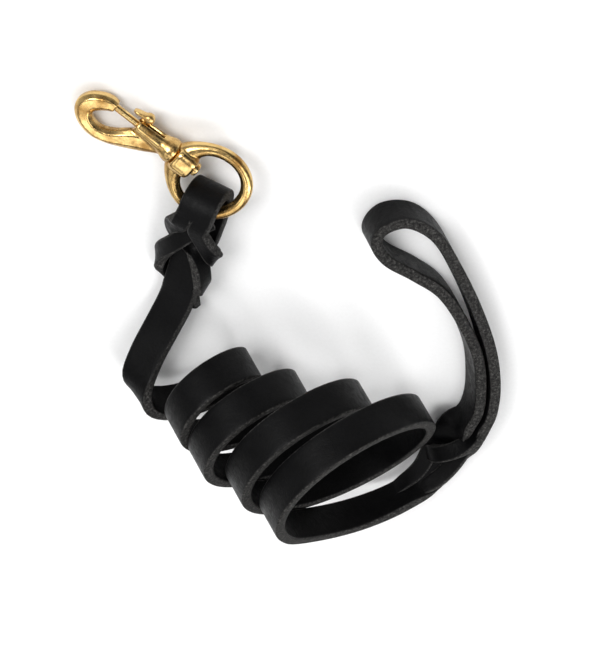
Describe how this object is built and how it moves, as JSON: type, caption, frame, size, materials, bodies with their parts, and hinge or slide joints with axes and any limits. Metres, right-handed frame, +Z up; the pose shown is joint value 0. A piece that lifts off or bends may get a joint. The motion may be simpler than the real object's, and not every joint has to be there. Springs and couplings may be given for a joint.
{
  "type": "training leash",
  "caption": "Flat black leather training leash lying in a loose coil, with braided joints, a folded hand loop and a solid brass swivel bolt snap.",
  "frame": {"origin": "on the floor below the middle of the snap and the handle, without the free strap", "axes": "+Z up; the snap lies toward +Y and the coil toward -Y, as the leash lies on a table"},
  "size_m": [0.1714, 0.2132, 0.0735],
  "materials": {
    "leather": "black drum-dyed leather with a soft waxed face and paler, rougher cut edges",
    "cast_brass": "tumbled and polished cast brass",
    "turned_brass": "bright turned brass",
    "spring_steel": "drawn spring wire"
  },
  "bodies": {
    "leather": {"eye_fold": "leather", "snap_end_braid": "leather", "strap_lead": "leather", "strap_coil": "leather", "strap_run": "leather", "handle_braid": "leather", "handle_loop": "leather"},
    "eye": {"swivel_eye": "cast_brass"},
    "snap": {"hook_body": "cast_brass", "swivel_stem": "turned_brass", "bolt_spring": "spring_steel"},
    "bolt": {"bolt_pin": "turned_brass", "thumb_stud": "turned_brass"}
  },
  "joints": [
    {"name": "eye_swing", "type": "hinge", "parent": "leather", "child": "eye", "pos_m": [-0.03728, 0.0473, 0.01305], "axis": [0.882, -0.2305, 0.4109], "range_deg": [-8, 60]},
    {"name": "snap_swivel", "type": "hinge", "parent": "eye", "child": "snap", "pos_m": [-0.0345, 0.0617, 0.012], "axis": [0.7619, -0.6319, 0.142], "continuous": true},
    {"name": "bolt_slide", "type": "slide", "parent": "snap", "child": "bolt", "axis": [0.7619, -0.6319, 0.142], "range_m": [0, 0.008], "stiffness_N_per_m": 420, "springref_m": -0.004, "deforming": ["bolt_spring"]}
  ]
}
